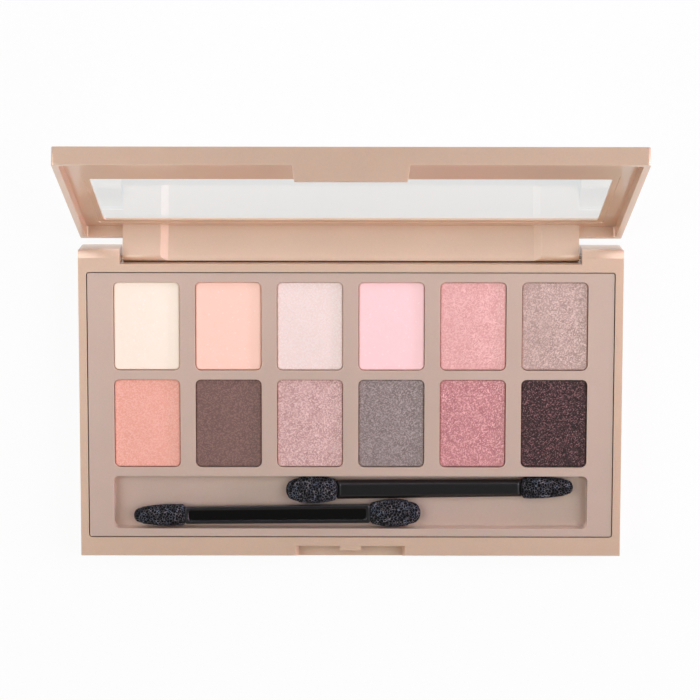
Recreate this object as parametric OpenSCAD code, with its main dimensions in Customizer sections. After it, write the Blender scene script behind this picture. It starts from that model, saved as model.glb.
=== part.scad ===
// Flat eyeshadow palette: a case with twelve metal pans of pressed powder, a trough for
// two double-ended sponge applicators, and a windowed lid on two steel hinge pins.
// The origin is on the case's underside, midway between the rim's four edges. +X is right, -Y the
// opening edge, +Y the hinge edge and +Z up. The lid is drawn open, on its stop.

/* [Case] */
// Width of the case and lid, along the hinge
case_width = 137; // [125:0.5:160]
// Depth of the case and lid, front to hinge edge
case_depth = 78.4; // [77:0.1:90]
// Height of the case from the table to its rim
case_height = 10.4; // [9.8:0.1:14]
// Thickness of the case's floor
case_floor = 1.2; // [0.8:0.1:2]
// Thickness of the case's side walls
case_side_wall = 2; // [1.2:0.1:3]
// Width of the rim along the opening edge
case_front_rim = 4.65; // [3.8:0.05:8]
// Width of the rim between the tray and the hinge notch
case_rear_rim = 2; // [1.2:0.1:3]
// Radius of the upright corners of the case and lid
case_corner_radius = 0.6; // [0.2:0.1:2]
// How far the case's front swells out past its rim
front_bow = 1; // [0.3:0.1:2]
// Height of the fullest place of the case's front
front_bow_height = 4.2; // [3:0.1:6]

/* [Hinge] */
// Distance of the hinge axis from the rear face
hinge_setback = 2.3; // [2:0.05:3]
// Distance of the hinge axis below the case's rim
hinge_drop = 4.95; // [4:0.05:5.5]
// Opening angle of the lid, where its block meets the stop shelf
lid_open_angle = 108.7; // [95:0.1:110]
// Width of each ear of the case beside the hinge notch
ear_width = 10.45; // [8:0.05:14]
// Free gap at each end of the lid's hinge block
block_end_gap = 0.45; // [0.2:0.05:1]
// Radius of the knuckle round the hinge axis
knuckle_radius = 1.25; // [1.1:0.05:1.4]
// Length of the proud knuckle at each end of the block
knuckle_length = 9.6; // [8:0.1:14]
// Free gap between the knuckles and the notch's wall
knuckle_gap = 0.3; // [0.2:0.05:0.6]
// Depth of the block's recessed middle
block_recess = 1.1; // [0.5:0.05:1.15]
// Width of the slope from a knuckle down to the recess
block_slope = 1.9; // [0.5:0.1:4]
// Gap left between the open lid and its stop shelf
stop_gap = 0.1; // [0.05:0.05:0.3]
// Diameter of each hinge pin
pin_diameter = 1.3; // [1:0.05:1.5]
// Length of pin that the knuckle turns on
pin_reach = 7; // [5:0.1:9]
// Depth of the pin's head below the case's side face
pin_sink = 0.3; // [0.1:0.05:1]
// Radial clearance of the knuckle's bore on the pin
pin_clearance = 0.05; // [0.02:0.01:0.1]

/* [Tray] */
// Gap between the tray and the case all round
tray_gap = 0.25; // [0.1:0.05:0.5]
// Depth of the tray's face below the case's rim
tray_sink = 0.2; // [0:0.05:0.6]
// Radius of the tray's corners
tray_corner_radius = 0.5; // [0.2:0.1:2]
// Thickness of the tray under the wells and the trough
tray_floor = 1.2; // [0.8:0.1:1.6]
// Thickness of the skirt that carries the tray on the case's floor
tray_skirt = 1.4; // [1:0.1:2]

/* [Wells and pans] */
// Distance from each end of the tray to the wells
well_side_margin = 6.5; // [4:0.1:12]
// Gap between neighbouring wells in a row
well_column_gap = 3.86; // [2:0.02:6]
// Gap between the two rows of wells
well_row_gap = 2.3; // [1.5:0.1:4]
// Distance from the tray's rear edge to the wells
well_rear_margin = 2.27; // [1.5:0.01:4]
// Depth of the wells below the tray's face
well_sink = 5.2; // [4.5:0.1:6]
// Radius of the wells' corners
well_corner_radius = 1.4; // [0.6:0.1:3]
// Gap between a pan and its well
pan_gap = 0.2; // [0.1:0.05:0.4]
// Thickness of the pans' sheet metal
pan_wall = 0.3; // [0.2:0.05:0.5]
// Height of a pan
pan_height = 4.2; // [3.2:0.1:4.6]
// Thickness of the powder that is pressed over the pan's lip
powder_cap = 0.3; // [0.1:0.05:0.5]
// Thickness of the glue spot under each pan
glue_thickness = 0.15; // [0.05:0.05:0.4]
// Diameter of the glue spot under each pan
glue_diameter = 8; // [4:0.5:14]

/* [Trough] */
// Gap between the wells and the applicator trough
trough_margin = 2.28; // [1.5:0.01:4]
// Distance from each end of the tray to the trough
trough_side_margin = 6.2; // [4:0.1:12]
// Distance from the tray's front edge to the trough
trough_front_margin = 2; // [1.2:0.1:4]
// Depth of the trough below the tray's face
trough_sink = 3.8; // [3.6:0.1:4.4]
// Radius of the trough's corners
trough_corner_radius = 1.3; // [0.6:0.1:3]

/* [Lid] */
// Height of the lid's walls from their rim to the outer face
lid_height = 4.3; // [4:0.1:6]
// Gap left between the closed lid's rim and the case's rim
lid_closing_gap = 0.1; // [0.05:0.05:0.4]
// Thickness of the lid's walls
lid_wall = 1.55; // [1.2:0.05:1.7]
// Thickness of the lid's panel
lid_panel = 1.5; // [1.3:0.1:2]
// Opaque margin between the window and each side of the lid
window_side_margin = 6.5; // [5:0.1:20]
// Opaque margin between the window and the opening edge
window_front_margin = 26.6; // [20:0.1:40]
// Opaque margin between the window and the hinge edge
window_rear_margin = 8; // [7:0.1:16]
// Radius of the window's corners
window_corner_radius = 0.8; // [0.3:0.1:3]
// Thickness of the clear pane
pane_thickness = 0.8; // [0.5:0.1:1]
// Lap of the pane over the frame round the opening
pane_lap = 1.9; // [1:0.1:2.5]
// Gap between the pane's edge and its seat
pane_gap = 0.1; // [0.05:0.05:0.3]
// Depth of the shallow step round the window on the inner face
step_depth = 0.2; // [0.1:0.05:0.4]
// Width of the step beside the window
step_side = 1.5; // [0.8:0.1:3]
// Width of the step on the opening edge's side
step_front = 4.4; // [1:0.1:8]
// Width of the step on the hinge side
step_rear = 2.3; // [1:0.1:3]

/* [Latch] */
// Width of the latch notch at the case's rim
notch_width = 27.8; // [20:0.1:60]
// Depth of the notch into the front rim
notch_depth = 2.47; // [2:0.01:3]
// Height of the notch below the rim
notch_height = 4.3; // [4:0.1:6]
// Lean of each side of the notch over its height
notch_lean = 0.7; // [0:0.05:1.5]
// Width of the catch nub in the notch
nub_width = 5.4; // [3:0.1:10]
// Gap between the nub and the closed lid's tab
nub_clearance = 0.23; // [0.1:0.01:0.6]
// Height of the nub
nub_height = 1.6; // [1:0.1:2.5]
// Length of the lid's tab below the lid's rim
tab_length = 3.8; // [3:0.1:3.9]
// Thickness of the lid's tab
tab_thickness = 1.1; // [0.8:0.05:1.2]
// Gap between the tab and each side of the notch
tab_gap = 0.35; // [0.2:0.05:0.6]

/* [Applicators] */
// Length over which the two applicators lie side by side
applicator_overlap = 34.3; // [30:0.1:50]
// Distance from the front applicator's tip to the trough's left end
front_tip_gap = 4.9; // [1:0.1:8]
// Distance from the rear applicator's tip to the trough's right end
back_tip_gap = 3.5; // [1:0.1:8]
// Gap between a broad sponge and the other applicator's handle
applicator_gap = 0.335; // [0.2:0.005:1]
// Gap between a sponge and the trough's wall
sponge_gap = 0.2; // [0.1:0.05:0.4]
// Angle at which the applicators lie in the trough
applicator_turn = 0.6; // [0:0.1:0.8]
// Width of a handle at its broad sponge
handle_width = 4.8; // [4.4:0.1:4.9]
// Width of a handle at its narrow sponge
handle_end_width = 4.4; // [3.4:0.1:4.8]
// Thickness of a handle
handle_thickness = 2.6; // [2:0.1:3.2]
// Width of the bevel along a handle's upper edges
handle_top_bevel = 0.3; // [0.1:0.05:0.6]
// Width of the bevel along a handle's lower edges
handle_under_bevel = 0.9; // [0.3:0.05:1.2]
// Height of the bevel along a handle's lower edges
handle_under_rise = 0.9; // [0.3:0.05:1.2]
// Depth of the recessed panel in a handle's upper face
panel_depth = 0.3; // [0.1:0.05:0.5]
// Width of the raised edge round the recessed panel
panel_edge = 0.95; // [0.6:0.05:1.4]
// Length of the stem inside each sponge
stem_length = 8; // [5:0.1:9]
// Width of the stem inside each sponge
stem_width = 2.4; // [1.5:0.1:3]
// Thickness of the stem inside each sponge
stem_thickness = 1.4; // [1:0.1:2]
// Length of the broad sponge
broad_length = 12.9; // [12:0.1:14]
// Width of the broad sponge
broad_width = 7.15; // [6.6:0.05:8]
// How much the broad sponge narrows to its neck, on each side
broad_neck_inset = 0.98; // [0.1:0.02:1.4]
// Distance of the broad sponge's widest place from its neck
broad_belly = 6; // [4:0.1:7]
// Radius of the broad sponge's tip
broad_tip_radius = 3.2; // [2.4:0.05:3.3]
// Length of the narrow sponge
narrow_length = 13; // [12:0.1:14]
// Width of the narrow sponge
narrow_width = 5.6; // [5:0.1:7]
// How much the narrow sponge narrows to its neck, on each side
narrow_neck_inset = 0.1; // [0.05:0.05:0.8]
// Distance of the narrow sponge's widest place from its neck
narrow_belly = 3; // [2.5:0.1:6]
// Radius of the narrow sponge's tip
narrow_tip_radius = 2.15; // [1.6:0.05:2.2]
// Thickness of both sponges
sponge_thickness = 4.2; // [3.8:0.1:4.5]
// How much both sponges thin down to their necks, above and below
sponge_neck_inset = 0.6; // [0.2:0.05:0.8]
// Distance of both sponges' thickest place from the neck
sponge_belly = 6; // [5:0.1:8]
// Radius of both sponges' tips, seen from the side
sponge_tip_radius = 1.6; // [1:0.05:1.7]

/* [Hidden] */
$fn = 64;

// A cut runs this far past the face that it opens
eps = 1;
columns = 6;
rows = 2;

// Colours, as CSS names or RGB
case_colour = [0.80, 0.68, 0.60];
tray_colour = [0.74, 0.65, 0.60];
shade_colours = [
    [1.00, 0.94, 0.88], [1.00, 0.83, 0.77], [0.95, 0.87, 0.86],
    [1.00, 0.84, 0.84], [0.94, 0.69, 0.69], [0.77, 0.67, 0.64],
    [0.95, 0.67, 0.61], [0.52, 0.39, 0.36], [0.84, 0.67, 0.66],
    [0.59, 0.54, 0.52], [0.82, 0.54, 0.58], [0.33, 0.25, 0.25]
];

// Case and hinge places
rear_y = case_depth / 2;
front_y = -rear_y;
axis_y = rear_y - hinge_setback;
axis_z = case_height - hinge_drop;
ear_x = case_width / 2 - ear_width;
block_x = ear_x - block_end_gap;
hinge_wall_y = axis_y - knuckle_radius - knuckle_gap;
pocket_rear_y = hinge_wall_y - case_rear_rim;
pocket_front_y = front_y + case_front_rim;
pocket_width = case_width - 2 * case_side_wall;

// Tray and trough places
tray_top = case_height - tray_sink;
tray_width = pocket_width - 2 * tray_gap;
tray_rear_y = pocket_rear_y - tray_gap;
tray_front_y = pocket_front_y + tray_gap;
trough_length = tray_width - 2 * trough_side_margin;
trough_front_y = tray_front_y + trough_front_margin;
trough_floor_z = tray_top - trough_sink;

// Applicators: they fill the trough's length, nested side by side
handle_length = (trough_length - front_tip_gap - back_tip_gap + applicator_overlap) / 2
    - broad_length - narrow_length;
front_applicator_x = front_tip_gap + narrow_length + (handle_length - trough_length) / 2;
back_applicator_x = (trough_length - handle_length) / 2 - narrow_length - back_tip_gap;
broad_shift = sideways((handle_length + broad_length) / 2);
narrow_shift = sideways((handle_length + narrow_length) / 2);
applicator_margin = sponge_gap + max(broad_width / 2 - broad_shift, narrow_width / 2 + narrow_shift);
applicator_spacing = (broad_width + handle_width) / 2 + broad_shift + applicator_gap;
front_applicator_y = trough_front_y + applicator_margin;
back_applicator_y = front_applicator_y + applicator_spacing;
trough_rear_y = back_applicator_y + applicator_margin;
applicator_z = trough_floor_z + sponge_thickness / 2;

// Wells share what the margins and the trough leave of the tray
wells_front_y = trough_rear_y + trough_margin;
wells_rear_y = tray_rear_y - well_rear_margin;
well_width = (tray_width - 2 * well_side_margin - (columns - 1) * well_column_gap) / columns;
well_depth = (wells_rear_y - wells_front_y - (rows - 1) * well_row_gap) / rows;
column_pitch = well_width + well_column_gap;
row_pitch = well_depth + well_row_gap;
first_row_y = wells_rear_y - well_depth / 2;
well_floor_z = tray_top - well_sink;

// Pan and powder heights
pan_z = well_floor_z + glue_thickness;
pan_width = well_width - 2 * pan_gap;
pan_depth = well_depth - 2 * pan_gap;
pan_corner_radius = max(well_corner_radius - pan_gap, pan_wall + 0.1);
powder_top = pan_height + powder_cap;

// Lid heights and window places, with the lid closed
lid_rim_z = case_height + lid_closing_gap;
lid_top_z = lid_rim_z + lid_height;
lid_inner_z = lid_top_z - lid_panel;
pane_z = lid_top_z - pane_thickness;
window_length = case_width - 2 * window_side_margin;
window_front_y = front_y + window_front_margin;
window_rear_y = rear_y - window_rear_margin;
nub_reach = notch_depth - tab_thickness - nub_clearance;

// Sideways shift at that distance along a turned applicator, to a hundredth of a millimetre
function sideways(distance) = round(100 * distance * sin(applicator_turn)) / 100;

// Centre of well number i, counted from the rear left along each row
function well_x(i) = (i % columns - (columns - 1) / 2) * column_pitch;
function well_y(i) = first_row_y - floor(i / columns) * row_pitch;

// Name of copy number i of a repeated sub-part
function copy_name(stem, i) = str(stem, i < 9 ? "_0" : "_", i + 1);

// Height of the stop shelf at distance y behind the hinge axis, both from the axis
function shelf_z(y) =
    (y * cos(lid_open_angle) - hinge_setback - stop_gap) / sin(lid_open_angle);

// Radius of the arc that rises by rise over the length run
function arc_radius(run, rise) = (run * run + rise * rise) / (2 * rise);

// Rectangle from [x0, y0] to [x1, y1] with corners of radius r
module rounded_rect(x0, y0, x1, y1, r) {
    translate([x0 + r, y0]) square([x1 - x0 - 2 * r, y1 - y0]);
    translate([x0, y0 + r]) square([x1 - x0, y1 - y0 - 2 * r]);
    for (x = [x0 + r, x1 - r], y = [y0 + r, y1 - r]) translate([x, y]) circle(r);
}

// Rounded block centred on X between two Y places and two heights
module rounded_block(width, y0, y1, z0, z1, r) {
    translate([0, 0, z0]) linear_extrude(z1 - z0)
        rounded_rect(-width / 2, y0, width / 2, y1, r);
}

// Extrudes a YZ outline along X, centred
module along_x(length) {
    rotate([90, 0, 90]) linear_extrude(length, center = true) children();
}

// Cylinder along the hinge axis between two X places
module hinge_cylinder(x0, x1, diameter) {
    translate([x0, axis_y, axis_z]) rotate([0, 90, 0]) cylinder(d = diameter, h = x1 - x0);
}

// Front view of the notch or tab, narrowing downward from the rim
module latch_outline(half_width, height, lean) {
    polygon([
        [-half_width, 0], [-half_width + lean, -height],
        [half_width - lean, -height], [half_width, 0]
    ]);
}

// The case: floor, walls, rims, hinge ears, stop shelf and latch notch
module base_case() {
    color(case_colour) {
        difference() {
            case_block();
            rounded_block(pocket_width, pocket_front_y, pocket_rear_y,
                case_floor, case_height + eps, tray_corner_radius + tray_gap);
            translate([-ear_x, hinge_wall_y, -eps])
                cube([2 * ear_x, rear_y - hinge_wall_y + eps, case_height + 2 * eps]);
            ear_rounding();
            hinge_cylinder(-case_width / 2 - eps, case_width / 2 + eps, pin_diameter);
            latch_notch();
        }
        latch_nub();
        stop_shelf();
    }
}

// Outer form of the case: upright sides and rear, and a front that swells in an arc
module case_block() {
    bow_radius = arc_radius(case_height - front_bow_height, front_bow);
    intersection() {
        rounded_block(case_width, front_y - front_bow, rear_y, 0, case_height, case_corner_radius);
        along_x(case_width + 2 * eps) {
            translate([front_y - front_bow + bow_radius, front_bow_height])
                circle(bow_radius, $fn = 360);
            translate([front_y + bow_radius - front_bow, 0]) square([case_depth, case_height]);
        }
    }
}

// Waste outside the ears' rounded rear edge, so that the lid's rim swings past it
module ear_rounding() {
    along_x(case_width + 2 * eps) translate([axis_y, axis_z]) difference() {
        square([hinge_setback + eps, hinge_drop + eps]);
        circle(hinge_drop);
    }
}

module latch_notch() {
    translate([0, front_y + notch_depth, case_height]) rotate([90, 0, 0])
        linear_extrude(notch_depth + front_bow + eps) {
            latch_outline(notch_width / 2, notch_height, notch_lean);
            translate([-notch_width / 2, 0]) square([notch_width, eps]);
        }
}

module latch_nub() {
    translate([-nub_width / 2, front_y + notch_depth - nub_reach, case_height - nub_height])
        cube([nub_width, nub_reach, nub_height]);
}

// Shelf under the hinge block; the open lid's rear face comes down on its slope
module stop_shelf() {
    shelf_front = hinge_wall_y - axis_y;
    along_x(2 * block_x) translate([axis_y, axis_z]) polygon([
        [shelf_front, -axis_z], [hinge_setback, -axis_z],
        [hinge_setback, shelf_z(hinge_setback)], [shelf_front, shelf_z(shelf_front)]
    ]);
}

// The tray: wells for the pans, the trough, and a skirt that stands on the case's floor
module shade_tray() {
    color(tray_colour) difference() {
        rounded_block(tray_width, tray_front_y, tray_rear_y,
            case_floor, tray_top, tray_corner_radius);
        for (i = [0 : columns * rows - 1])
            translate([well_x(i), 0, 0])
                rounded_block(well_width, well_y(i) - well_depth / 2, well_y(i) + well_depth / 2,
                    well_floor_z, tray_top + eps, well_corner_radius);
        rounded_block(trough_length, trough_front_y, trough_rear_y,
            trough_floor_z, tray_top + eps, trough_corner_radius);
        rounded_block(tray_width - 2 * tray_skirt, wells_front_y, tray_rear_y - tray_skirt,
            case_floor - eps, well_floor_z - tray_floor, tray_corner_radius);
        rounded_block(tray_width - 2 * tray_skirt, tray_front_y + tray_skirt,
            wells_front_y - tray_skirt,
            case_floor - eps, trough_floor_z - tray_floor, tray_corner_radius);
    }
}

// One glue spot under the middle of each pan
module pan_glue() {
    color("ivory") for (i = [0 : columns * rows - 1])
        translate([well_x(i), well_y(i), well_floor_z])
            cylinder(d = glue_diameter, h = glue_thickness);
}

// Pan number i: an open box of thin sheet metal
module pan(i) {
    color("silver") translate([well_x(i), well_y(i), pan_z]) difference() {
        rounded_block(pan_width, -pan_depth / 2, pan_depth / 2, 0, pan_height, pan_corner_radius);
        rounded_block(pan_width - 2 * pan_wall, pan_wall - pan_depth / 2, pan_depth / 2 - pan_wall,
            pan_wall, pan_height + eps, pan_corner_radius - pan_wall);
    }
}

// Pressed powder that fills pan number i and covers its lip
module shade(i) {
    color(shade_colours[i]) translate([well_x(i), well_y(i), pan_z]) {
        rounded_block(pan_width - 2 * pan_wall, pan_wall - pan_depth / 2, pan_depth / 2 - pan_wall,
            pan_wall, powder_top, pan_corner_radius - pan_wall);
        rounded_block(pan_width, -pan_depth / 2, pan_depth / 2,
            pan_height, powder_top, pan_corner_radius);
    }
}

// Steel pin pressed through one ear and into the knuckle; side is -1 left or 1 right
module hinge_pin(side) {
    outer_x = case_width / 2 - pin_sink;
    inner_x = block_x - pin_reach;
    color("lightgray") hinge_cylinder(
        side > 0 ? inner_x : -outer_x, side > 0 ? outer_x : -inner_x, pin_diameter);
}

// Places what is modelled closed at the lid's opening angle
module open_lid() {
    translate([0, axis_y, axis_z]) rotate([-lid_open_angle, 0, 0])
        translate([0, -axis_y, -axis_z]) children();
}

// The lid: panel with a window opening, walls, latch tab and hinge block
module lid_frame() {
    color(case_colour) open_lid() {
        difference() {
            union() {
                lid_shell();
                hinge_block();
            }
            for (x = [-block_x - eps, block_x - pin_reach - eps])
                hinge_cylinder(x, x + pin_reach + 2 * eps, pin_diameter + 2 * pin_clearance);
        }
        latch_tab();
    }
}

module lid_shell() {
    difference() {
        rounded_block(case_width, front_y, rear_y, lid_rim_z, lid_top_z, case_corner_radius);
        rounded_block(case_width - 2 * lid_wall, front_y + lid_wall, rear_y - lid_wall,
            lid_rim_z - eps, lid_inner_z, case_corner_radius);
        rounded_block(window_length, window_front_y, window_rear_y,
            lid_inner_z - eps, lid_top_z + eps, window_corner_radius);
        rounded_block(window_length + 2 * pane_lap, window_front_y - pane_lap,
            window_rear_y + pane_lap, pane_z, lid_top_z + eps, window_corner_radius);
        rounded_block(window_length + 2 * step_side, window_front_y - step_front,
            window_rear_y + step_rear, lid_inner_z - eps, lid_inner_z + step_depth,
            window_corner_radius);
    }
}

// Hinge block: proud round knuckles at the ends and a recessed middle
module hinge_block() {
    rear_inner = rear_y - axis_y;
    block_top = lid_inner_z - axis_z;
    difference() {
        along_x(2 * block_x) translate([axis_y, axis_z]) {
            circle(knuckle_radius);
            polygon([
                [-knuckle_radius, 0], [knuckle_radius, 0],
                [rear_inner, rear_inner - knuckle_radius], [rear_inner, block_top],
                [-knuckle_radius, block_top]
            ]);
        }
        block_recess();
    }
}

// Waste in front of the block's recessed middle, sloped at both ends
module block_recess() {
    inner_x = block_x - knuckle_length - block_slope;
    face_y = axis_y - knuckle_radius;
    translate([0, 0, axis_z - knuckle_radius - eps])
        linear_extrude(lid_inner_z - axis_z + knuckle_radius + eps) polygon([
            [-inner_x - block_slope, face_y], [-inner_x, face_y + block_recess],
            [inner_x, face_y + block_recess], [inner_x + block_slope, face_y],
            [inner_x + block_slope, face_y - eps], [-inner_x - block_slope, face_y - eps]
        ]);
}

module latch_tab() {
    lean = notch_lean * tab_length / notch_height;
    translate([0, front_y + tab_thickness, lid_rim_z]) rotate([90, 0, 0])
        linear_extrude(tab_thickness)
            latch_outline(notch_width / 2 - tab_gap, tab_length, lean);
}

// Clear pane seated in the lid's outer face
module lid_window() {
    color([0.9, 0.95, 0.95, 0.4]) open_lid()
        rounded_block(window_length + 2 * (pane_lap - pane_gap),
            window_front_y - pane_lap + pane_gap, window_rear_y + pane_lap - pane_gap,
            pane_z, lid_top_z, window_corner_radius);
}

// Bevelled handle along X, its broad end at +X, with a recessed panel above and stems
module handle() {
    half = handle_width / 2;
    end_half = handle_end_width / 2;
    top = handle_thickness / 2;
    color([0.06, 0.06, 0.06]) {
        difference() {
            intersection() {
                along_x(handle_length) polygon([
                    [-half + handle_under_bevel, -top], [half - handle_under_bevel, -top],
                    [half, -top + handle_under_rise], [half, top - handle_top_bevel],
                    [half - handle_top_bevel, top], [-half + handle_top_bevel, top],
                    [-half, top - handle_top_bevel], [-half, -top + handle_under_rise]
                ]);
                handle_plan(handle_length / 2, half, end_half, -top, top);
            }
            handle_plan(handle_length / 2 - panel_edge, half - panel_edge,
                end_half - panel_edge, top - panel_depth, top + eps);
        }
        for (side = [-1, 1]) sponge_stem(side);
    }
}

// Tapered plan of the handle between two heights
module handle_plan(half_length, half_width, half_end_width, z0, z1) {
    translate([0, 0, z0]) linear_extrude(z1 - z0) polygon([
        [-half_length, -half_end_width], [half_length, -half_width],
        [half_length, half_width], [-half_length, half_end_width]
    ]);
}

// Stem inside the sponge at one end of the handle; side is -1 narrow or 1 broad
module sponge_stem(side) {
    translate([side * (handle_length + stem_length) / 2, 0, 0])
        cube([stem_length, stem_width, stem_thickness], center = true);
}

// Oval from its neck at x = 0, inset on each side there, widest at the belly, to a round tip
module oval(length, width, inset, belly, tip) {
    arc = arc_radius(belly, inset);
    intersection() {
        translate([belly, width / 2 - arc]) circle(arc, $fn = 240);
        translate([belly, arc - width / 2]) circle(arc, $fn = 240);
        union() {
            translate([0, -width / 2]) square([length - tip, width]);
            translate([length - tip, 0]) circle(tip);
        }
    }
}

// Foam sponge along +X from the handle's end, hollowed for its stem
module sponge(length, width, inset, belly, tip) {
    color([0.16, 0.16, 0.17]) difference() {
        intersection() {
            translate([0, 0, -sponge_thickness / 2]) linear_extrude(sponge_thickness)
                oval(length, width, inset, belly, tip);
            rotate([90, 0, 0]) linear_extrude(width, center = true)
                oval(length, sponge_thickness, sponge_neck_inset,
                    sponge_belly, sponge_tip_radius);
        }
        translate([-eps, -stem_width / 2, -stem_thickness / 2])
            cube([stem_length + eps, stem_width, stem_thickness]);
    }
}

module broad_sponge() {
    translate([handle_length / 2, 0, 0])
        sponge(broad_length, broad_width, broad_neck_inset, broad_belly, broad_tip_radius);
}

module narrow_sponge() {
    translate([-handle_length / 2, 0, 0]) rotate([0, 0, 180])
        sponge(narrow_length, narrow_width, narrow_neck_inset, narrow_belly, narrow_tip_radius);
}

// Front applicator: broad end to the right, recessed panel up
module in_front_place() {
    translate([front_applicator_x, front_applicator_y, applicator_z])
        rotate([0, 0, applicator_turn]) children();
}

// Rear applicator: broad end to the left, turned over
module in_back_place() {
    translate([back_applicator_x, back_applicator_y, applicator_z])
        rotate([0, 0, applicator_turn]) rotate([0, 180, 0]) children();
}

base_case();
shade_tray();
pan_glue();
hinge_pin(-1);  // hinge_pin_left
hinge_pin(1);  // hinge_pin_right
lid_frame();
lid_window();
in_front_place() handle();  // front_handle
in_front_place() broad_sponge();  // front_broad_sponge
in_front_place() narrow_sponge();  // front_narrow_sponge
in_back_place() handle();  // back_handle
in_back_place() broad_sponge();  // back_broad_sponge
in_back_place() narrow_sponge();  // back_narrow_sponge
for (i = [0 : columns * rows - 1]) {
    pan(i);
    shade(i);
}
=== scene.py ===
# %% [markdown]
# # A flat eyeshadow palette
#
# This lesson dresses a small engineering model. Every part of the palette arrives as a
# finished solid in its right place. The case, the tray, the pans and the lid keep their
# solids and get a finish. The parts whose skin matters most get a new surface as well:
# twelve pressed powders, two handles and four foam tips. All lengths in Blender are
# metres, so a palette 137 mm wide is 0.137 units across. We start by loading the solids.

# %% Load the solids
import math

import bpy
import numpy as np
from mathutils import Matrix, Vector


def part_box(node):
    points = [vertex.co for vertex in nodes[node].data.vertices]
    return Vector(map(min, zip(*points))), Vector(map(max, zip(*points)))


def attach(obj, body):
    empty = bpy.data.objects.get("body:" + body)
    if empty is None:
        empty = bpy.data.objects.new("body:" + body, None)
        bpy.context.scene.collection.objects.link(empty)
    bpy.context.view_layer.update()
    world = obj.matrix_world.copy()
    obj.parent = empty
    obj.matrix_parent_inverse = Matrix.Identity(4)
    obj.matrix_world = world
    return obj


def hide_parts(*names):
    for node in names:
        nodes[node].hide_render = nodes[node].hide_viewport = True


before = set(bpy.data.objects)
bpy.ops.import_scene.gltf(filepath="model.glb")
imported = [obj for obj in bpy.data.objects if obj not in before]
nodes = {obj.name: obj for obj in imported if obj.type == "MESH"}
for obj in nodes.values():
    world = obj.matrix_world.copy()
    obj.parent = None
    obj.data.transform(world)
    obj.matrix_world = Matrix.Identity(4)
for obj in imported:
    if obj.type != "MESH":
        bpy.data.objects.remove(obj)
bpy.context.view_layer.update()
MM = 0.001

# %% [markdown]
# ## Colours and nodes
#
# A colour picked on a screen is an sRGB hex value. Cycles works with linear light, so one
# function turns the one into the other. A second small function adds a shader node, sets
# it and links it, so that a whole material reads as a short list of nodes.

# %% Colour and node helpers
def linear(colour):
    """sRGB hex to linear RGBA: each channel over 255, then ((c + 0.055) / 1.055) ** 2.4,
    or c / 12.92 where it is very dark."""
    c = np.array([int(colour[i:i + 2], 16) for i in (1, 3, 5)]) / 255
    c = np.where(c <= 0.04045, c / 12.92, ((c + 0.055) / 1.055) ** 2.4)
    return (*c.tolist(), 1.0)


def add(tree, kind, inputs=None, **settings):
    """Adds a shader node. Each input gets a value, or a link if a socket is given."""
    made = tree.nodes.new("ShaderNode" + kind)
    for name, value in settings.items():
        setattr(made, name, value)
    for name, value in (inputs or {}).items():
        if isinstance(value, bpy.types.NodeSocket):
            tree.links.new(value, made.inputs[name])
        else:
            made.inputs[name].default_value = value
    return made


def new_material(name):
    """A new material with an empty node tree and its output node."""
    material = bpy.data.materials.new(name)
    material.use_nodes = True
    material.node_tree.nodes.clear()
    return material, material.node_tree, add(material.node_tree, "OutputMaterial")


def per_metre(size_mm):
    """Texture scale that gives a pattern one repeat in that many millimetres."""
    return 1 / (size_mm * MM)


def blend_colours(tree, factor, first, second):
    """Colour socket between two colours; factor 0 gives the first and 1 the second. In a
    Mix node of colours, sockets 0, 6 and 7 are the factor and the two colours, and 2 is
    the colour that comes out."""
    mixed = add(tree, "Mix", data_type="RGBA")
    for place, value in ((0, factor), (6, first), (7, second)):
        if isinstance(value, bpy.types.NodeSocket):
            tree.links.new(value, mixed.inputs[place])
        else:
            mixed.inputs[place].default_value = value
    return mixed.outputs[2]


print("cream on screen is linear", [round(v, 3) for v in linear("#fff0e0")])

# %% [markdown]
# ## Moulded pearl plastic
#
# The case and the lid are injection-moulded ABS with pearl pigment, which is a crowd of
# mica flakes just under the surface. Light that meets a flake comes back as from a tinted
# metal, and light that misses them all scatters in the coloured plastic. A Metallic of
# one half blends the two. The flakes lie at all sorts of small angles, so their gleam is
# broad, with a roughness near 0.45. The polished surface above them mirrors more sharply,
# and most at grazing angles: that is the coat. The body colour is a warm tan that drifts
# a little, over centimetres where the melt flowed and over a third of a millimetre where
# the flakes lie. A little light also travels through the plastic, red the furthest and
# blue the least, so its edges look slightly warm.

# %% Pearl plastic
def moulded_plastic(name, pale, deep, gloss=0.1, gleam=0.45, grain_mm=0.35, flow_mm=18.0):
    """Opaque pearl plastic whose colour drifts between pale and deep."""
    material, tree, output = new_material(name)
    place = add(tree, "TexCoord").outputs["Object"]
    flow = add(tree, "TexNoise", {"Vector": place, "Scale": per_metre(flow_mm), "Detail": 2.0})
    grain = add(tree, "TexNoise", {"Vector": place, "Scale": per_metre(grain_mm), "Detail": 1.0})
    drift = add(tree, "Math", {0: flow.outputs["Fac"], 1: grain.outputs["Fac"]}, operation="ADD")
    factor = add(tree, "MapRange", {"Value": drift.outputs[0], "From Min": 0.7, "From Max": 1.3})
    rough = add(tree, "MapRange", {"Value": grain.outputs["Fac"], "From Min": 0.3, "From Max": 0.7,
                                   "To Min": gleam - 0.05, "To Max": gleam + 0.05})
    skin = add(tree, "Bump", {"Height": grain.outputs["Fac"], "Strength": 0.05,
                              "Distance": 0.02 * MM})
    shader = add(tree, "BsdfPrincipled", {
        "Base Color": blend_colours(tree, factor.outputs[0], linear(deep), linear(pale)),
        "Metallic": 0.5, "Roughness": rough.outputs[0], "Normal": skin.outputs[0],
        "IOR": 1.53, "Coat Weight": 0.45, "Coat Roughness": gloss, "Coat IOR": 1.55,
        "Subsurface Weight": 0.4, "Subsurface Radius": (2.0 * MM, 1.0 * MM, 0.4 * MM),
        "Subsurface Scale": 1.0})
    tree.links.new(shader.outputs[0], output.inputs["Surface"])
    return material


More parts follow.
